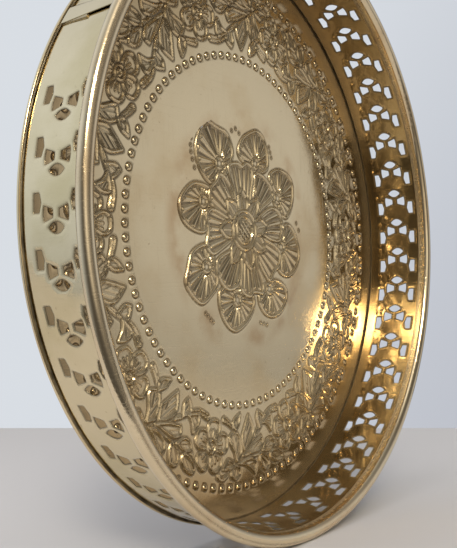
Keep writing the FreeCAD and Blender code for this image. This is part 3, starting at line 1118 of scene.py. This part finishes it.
def build_wall():
    wide_end = FIRST_MOTIF_ANGLE + WIDE_STEPS * WIDE_PITCH
    close_end = wide_end + CLOSE_STEPS * CLOSE_PITCH
    wide, close = pierced_cell(WIDE_PITCH), pierced_cell(CLOSE_PITCH)
    half = CLOSE_STEPS // 2
    pieces = [
        repeated(wide, "pierced_wide", WIDE_STEPS, FIRST_MOTIF_ANGLE + WIDE_PITCH, WIDE_PITCH,
                 WALL_BRASS),
        repeated(close, "pierced_close_1", half, wide_end + CLOSE_PITCH, CLOSE_PITCH, WALL_BRASS),
        repeated(close, "pierced_close_2", CLOSE_STEPS - half, wide_end + (half + 1) * CLOSE_PITCH,
                 CLOSE_PITCH, WALL_BRASS),
        repeated(close, "pierced_first", 1, FIRST_MOTIF_ANGLE, CLOSE_PITCH, WALL_BRASS),
        plain_stretch("plain_near_end", seam_start(), FIRST_MOTIF_ANGLE - CLOSE_PITCH + CELL_LEAD),
        plain_stretch("plain_far_end", close_end + CELL_LEAD - 360, SEAM_ANGLE),
        wall_foot(), lap_tongue(),
    ]
    for unit in (wide, close):
        bpy.data.objects.remove(unit)
    for piece in pieces:
        finish_piece(piece, "gallery_wall", WALL_BRASS)
    finish_piece(rolled_rim(), "gallery_wall", RIM_BRASS)
    for node, metal in (("rim_wire", WIRE_BRASS), ("lap_braze", BRAZE)):
        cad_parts[node].data.materials.clear()
        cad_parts[node].data.materials.append(metal)


# -------- camera, table and light

TRAY_R = RIM_R * MM
CAMERA_AT = Vector((-2.2762, -0.1822, 1.5933)) * TRAY_R
CAMERA_RIGHT = Vector((0.5808, -0.0309, 0.8135))
CAMERA_FORWARD = Vector((0.8141, 0.0220, -0.5804))
CAMERA_SHIFT = (-0.0172, -0.0144)
LENS = 53.45
SENSOR = 36.0
TABLE_NEAR, TABLE_FAR = 1.6, 5.28        # edges from the camera, in tray radii
TABLE_HALF_WIDTH = 9
TABLE_UP = Vector((0.0531, 0.9986, 0))   # level across the camera's view
TABLE_COLOUR = (0.572, 0.563, 0.58, 1.0)


def make_camera():
    forward = CAMERA_FORWARD.normalized()
    right = (CAMERA_RIGHT - forward * CAMERA_RIGHT.dot(forward)).normalized()
    up = right.cross(forward)
    data = bpy.data.cameras.new("camera")
    data.lens, data.sensor_width = LENS, SENSOR
    data.shift_x, data.shift_y = CAMERA_SHIFT
    camera = added("camera", data)
    turn = Matrix((right, up, -forward)).transposed().to_4x4()
    camera.matrix_world = Matrix.Translation(CAMERA_AT) @ turn
    bpy.context.scene.camera = camera


def make_table():
    """The plain table that the standing tray's rim touches, seen only from the tray's side."""
    out = (CAMERA_FORWARD - TABLE_UP * CAMERA_FORWARD.dot(TABLE_UP)).normalized()
    side = TABLE_UP.cross(out)
    near = CAMERA_AT + out * TABLE_NEAR * TRAY_R
    far = CAMERA_AT + out * TABLE_FAR * TRAY_R
    wide = side * TABLE_HALF_WIDTH * TRAY_R
    corners = [point - TABLE_UP * (point.dot(TABLE_UP) + TRAY_R)
               for point in (near - wide, near + wide, far + wide, far - wide)]
    mesh = bpy.data.meshes.new("table")
    mesh.from_pydata(corners, [], [(0, 1, 2, 3)])
    if mesh.polygons[0].normal.y < 0:
        mesh.flip_normals()
    table = added("table", mesh)
    paint = bpy.data.materials.new("table paint")
    paint.use_nodes = True
    tree = paint.node_tree
    shader, output = tree.nodes["Principled BSDF"], tree.nodes["Material Output"]
    shader.inputs["Base Color"].default_value = TABLE_COLOUR
    shader.inputs["Roughness"].default_value = 0.6
    clear = tree.nodes.new("ShaderNodeBsdfTransparent")
    back = tree.nodes.new("ShaderNodeNewGeometry").outputs["Backfacing"]
    mixed_shaders(tree, back, shader, clear, output)
    mesh.materials.append(paint)


BACKDROP = ((0.69, 0.725, 0.77, 1.0), (0.51, 0.53, 0.585, 1.0))
BACKDROP_ACROSS = CAMERA_RIGHT.normalized() - Vector((0, 0.6, 0))    # from its first colour
ROOM = (0.085, 0.08, 0.075)
# Soft patches of the room that the brass mirrors: direction, sharpness, colour added
ROOM_PATCHES = [
    ((-0.50, 0.35, -0.75), 2.5, (0.64, 0.72, 0.84)),     # pale wall behind the tray, on the left
    ((0.80, 0.14, 0.60), 14.0, (0.535, 0.545, 0.58)),    # lit wall that the floor mirrors
    ((0.35, 0.90, -0.30), 3.0, (0.40, 0.41, 0.42)),      # ceiling, towards the back
    ((-0.35, 0.85, 0.30), 28.0, (1.0, 0.95, 0.88)),      # ceiling light
    ((-0.48, 0.10, 0.87), 14.0, (0.92, 0.86, 0.77)),     # lit room beside the camera
    ((-0.70, 0.66, 0.60), 125.0, (37.0, 34.0, 28.0)),    # lamp above the camera
]


def make_room():
    """The world: plain behind the tray, and a soft uneven room in the metal's reflections."""
    world = bpy.data.worlds.new("room")
    bpy.context.scene.world = world
    world.use_nodes = True
    tree = world.node_tree
    tree.nodes.clear()
    direction = tree.nodes.new("ShaderNodeTexCoord").outputs["Generated"]
    total = ROOM
    for toward, power, colour in ROOM_PATCHES:
        level = vector_math(tree, "DOT_PRODUCT", direction, Vector(toward).normalized())
        level = arithmetic(tree, "POWER", arithmetic(tree, "MAXIMUM", level, 0.0), power)
        total = vector_math(tree, "MULTIPLY_ADD", level, colour, total)
    room, plain = [tree.nodes.new("ShaderNodeBackground") for _ in range(2)]
    tree.links.new(total, room.inputs["Color"])
    across = vector_math(tree, "DOT_PRODUCT", direction, BACKDROP_ACROSS)
    share = band_pass(tree, across, -0.2, 0.45)
    tree.links.new(mixed(tree, share, *BACKDROP), plain.inputs["Color"])
    seen = tree.nodes.new("ShaderNodeLightPath").outputs["Is Camera Ray"]
    mixed_shaders(tree, seen, room, plain, tree.nodes.new("ShaderNodeOutputWorld"))


LAMP_AT = Vector((-2.0, 5.0, 1.0)) * TRAY_R


def make_lamp():
    """A soft round lamp above the standing tray, turned to its middle."""
    data = bpy.data.lights.new("ceiling_lamp", "AREA")
    data.shape, data.size, data.energy, data.color = "DISK", 0.8, 3.9, (1.0, 0.98, 0.97)
    light = added("ceiling_lamp", data)
    light.location = LAMP_AT
    light.visible_glossy = False
    light.rotation_euler = (-LAMP_AT).to_track_quat("-Z", "Y").to_euler()


build_floor()
build_wall()
make_camera()
make_table()
make_room()
make_lamp()
bpy.context.scene.view_settings.view_transform = "Standard"
